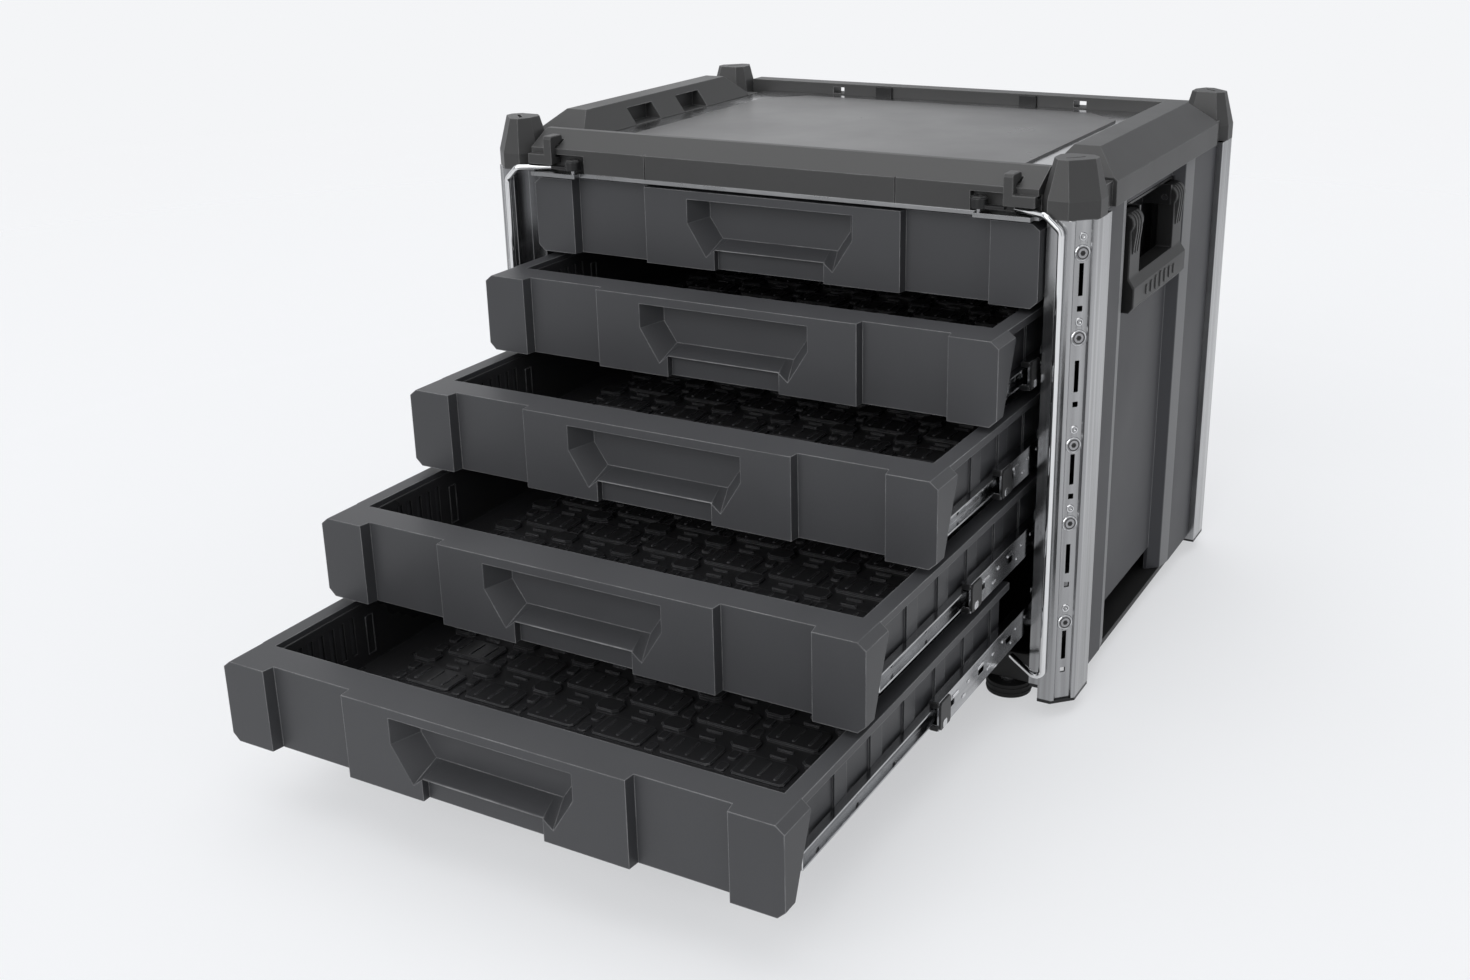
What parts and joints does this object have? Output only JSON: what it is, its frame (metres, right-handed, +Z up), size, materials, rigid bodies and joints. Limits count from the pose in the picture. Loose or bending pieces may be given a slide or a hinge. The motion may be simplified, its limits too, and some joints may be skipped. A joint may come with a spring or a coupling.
{
  "type": "socket organizer drawer box",
  "caption": "Stackable tool box with pull-out drawers on three-part slides, metal corner posts, fold-down side handles and wire latch rods.",
  "frame": {"origin": "on the floor, midway between the four feet", "axes": "+Z up, +X to the right seen from the front, the drawers open towards -Y"},
  "size_m": [0.442, 0.6546, 0.363],
  "materials": {
    "drawer_plastic": "fine moulded grain",
    "liner": "matt",
    "slide_steel": "zinc plated",
    "post_zinc": "bright zinc",
    "lid_plastic": "moulded grain",
    "panel_plastic": "moulded grain",
    "label_plastic": "smooth",
    "black_plastic": "matt",
    "handle_plastic": "textured grip",
    "lever_plastic": "matt",
    "rod_chrome": "polished wire",
    "screw_zinc": "zinc plated",
    "bolt_steel": "zinc plated",
    "base_steel": "black powder coat",
    "top_steel": "grey powder coat",
    "lid_metal": "rolled sheet",
    "rubber": "matt"
  },
  "bodies": {
    "cabinet": {"back_panel": "panel_plastic", "base_plate": "base_steel", "catch_posts": "black_plastic", "corner_cap_back_left": "lid_plastic", "corner_cap_back_right": "lid_plastic", "corner_cap_front_left": "lid_plastic", "corner_cap_front_right": "lid_plastic", "foot_bolts": "bolt_steel", "handle_pins": "bolt_steel", "handle_pocket_left": "black_plastic", "handle_pocket_right": "black_plastic", "label_panel": "label_plastic", "lever_pins": "bolt_steel", "lid_floor": "lid_metal", "lid_frame": "lid_plastic", "lid_side_left": "lid_plastic", "lid_side_right": "lid_plastic", "pocket_screws": "screw_zinc", "post_back_left": "post_zinc", "post_back_right": "post_zinc", "post_front_left": "post_zinc", "post_front_right": "post_zinc", "post_screws": "screw_zinc", "post_shoes": "black_plastic", "rear_clips": "black_plastic", "rubber_feet": "rubber", "side_panel_left": "panel_plastic", "side_panel_right": "panel_plastic", "slide_outer_1": "slide_steel", "slide_outer_2": "slide_steel", "slide_outer_3": "slide_steel", "slide_outer_4": "slide_steel", "slide_outer_5": "slide_steel", "top_plate": "top_steel"},
    "drawer_1_body": {"drawer_1": "drawer_plastic", "drawer_liner_1": "liner", "slide_inner_1": "slide_steel"},
    "slide_1_body": {"slide_middle_1": "slide_steel"},
    "drawer_2_body": {"drawer_2": "drawer_plastic", "drawer_liner_2": "liner", "slide_inner_2": "slide_steel"},
    "slide_2_body": {"slide_middle_2": "slide_steel"},
    "drawer_3_body": {"drawer_3": "drawer_plastic", "drawer_liner_3": "liner", "slide_inner_3": "slide_steel"},
    "slide_3_body": {"slide_middle_3": "slide_steel"},
    "drawer_4_body": {"drawer_4": "drawer_plastic", "drawer_liner_4": "liner", "slide_inner_4": "slide_steel"},
    "slide_4_body": {"slide_middle_4": "slide_steel"},
    "drawer_5_body": {"drawer_5": "drawer_plastic", "drawer_liner_5": "liner", "slide_inner_5": "slide_steel"},
    "slide_5_body": {"slide_middle_5": "slide_steel"},
    "handle_left_body": {"side_handle_left": "handle_plastic"},
    "rod_left_body": {"latch_rod_left": "rod_chrome"},
    "lever_left_body": {"latch_lever_left": "lever_plastic"},
    "handle_right_body": {"side_handle_right": "handle_plastic"},
    "rod_right_body": {"latch_rod_right": "rod_chrome"},
    "lever_right_body": {"latch_lever_right": "lever_plastic"}
  },
  "joints": [
    {"name": "drawer_1_slide", "type": "slide", "parent": "cabinet", "child": "drawer_1_body", "axis": [0, -1, 0], "range_m": [0, 0.33]},
    {"name": "rail_1_slide", "type": "slide", "parent": "cabinet", "child": "slide_1_body", "axis": [0, -1, 0], "range_m": [0, 0.165]},
    {"name": "drawer_2_slide", "type": "slide", "parent": "cabinet", "child": "drawer_2_body", "axis": [0, -1, 0], "range_m": [-0.062, 0.268]},
    {"name": "rail_2_slide", "type": "slide", "parent": "cabinet", "child": "slide_2_body", "axis": [0, -1, 0], "range_m": [-0.031, 0.134]},
    {"name": "drawer_3_slide", "type": "slide", "parent": "cabinet", "child": "drawer_3_body", "axis": [0, -1, 0], "range_m": [-0.147, 0.183]},
    {"name": "rail_3_slide", "type": "slide", "parent": "cabinet", "child": "slide_3_body", "axis": [0, -1, 0], "range_m": [-0.0735, 0.0915]},
    {"name": "drawer_4_slide", "type": "slide", "parent": "cabinet", "child": "drawer_4_body", "axis": [0, -1, 0], "range_m": [-0.2365, 0.0935]},
    {"name": "rail_4_slide", "type": "slide", "parent": "cabinet", "child": "slide_4_body", "axis": [0, -1, 0], "range_m": [-0.11825, 0.04675]},
    {"name": "drawer_5_slide", "type": "slide", "parent": "cabinet", "child": "drawer_5_body", "axis": [0, -1, 0], "range_m": [-0.3255, 0.0045]},
    {"name": "rail_5_slide", "type": "slide", "parent": "cabinet", "child": "slide_5_body", "axis": [0, -1, 0], "range_m": [-0.16275, 0.00225]},
    {"name": "handle_left_hinge", "type": "hinge", "parent": "cabinet", "child": "handle_left_body", "pos_m": [-0.209, -0.01, 0.307], "axis": [0, 1, 0], "range_deg": [0, 90]},
    {"name": "rod_left_hinge", "type": "hinge", "parent": "cabinet", "child": "rod_left_body", "pos_m": [-0.203, -0.1703, 0.166], "axis": [0, 0, -1], "range_deg": [0, 45]},
    {"name": "lever_left_hinge", "type": "hinge", "parent": "cabinet", "child": "lever_left_body", "pos_m": [-0.1492, -0.166, 0.3313], "axis": [0, 0, 1], "range_deg": [0, 27]},
    {"name": "handle_right_hinge", "type": "hinge", "parent": "cabinet", "child": "handle_right_body", "pos_m": [0.209, -0.01, 0.307], "axis": [0, -1, 0], "range_deg": [0, 90]},
    {"name": "rod_right_hinge", "type": "hinge", "parent": "cabinet", "child": "rod_right_body", "pos_m": [0.203, -0.1703, 0.166], "axis": [0, 0, 1], "range_deg": [0, 45]},
    {"name": "lever_right_hinge", "type": "hinge", "parent": "cabinet", "child": "lever_right_body", "pos_m": [0.1492, -0.166, 0.3313], "axis": [0, 0, -1], "range_deg": [0, 27]}
  ],
  "couplings": [
    {"joint": "rail_1_slide", "follows": "drawer_1_slide", "ratio": 0.5},
    {"joint": "rail_2_slide", "follows": "drawer_2_slide", "ratio": 0.5},
    {"joint": "rail_3_slide", "follows": "drawer_3_slide", "ratio": 0.5},
    {"joint": "rail_4_slide", "follows": "drawer_4_slide", "ratio": 0.5},
    {"joint": "rail_5_slide", "follows": "drawer_5_slide", "ratio": 0.5},
    {"joint": "lever_left_hinge", "follows": "rod_left_hinge", "ratio": 0.6},
    {"joint": "lever_right_hinge", "follows": "rod_right_hinge", "ratio": 0.6}
  ]
}
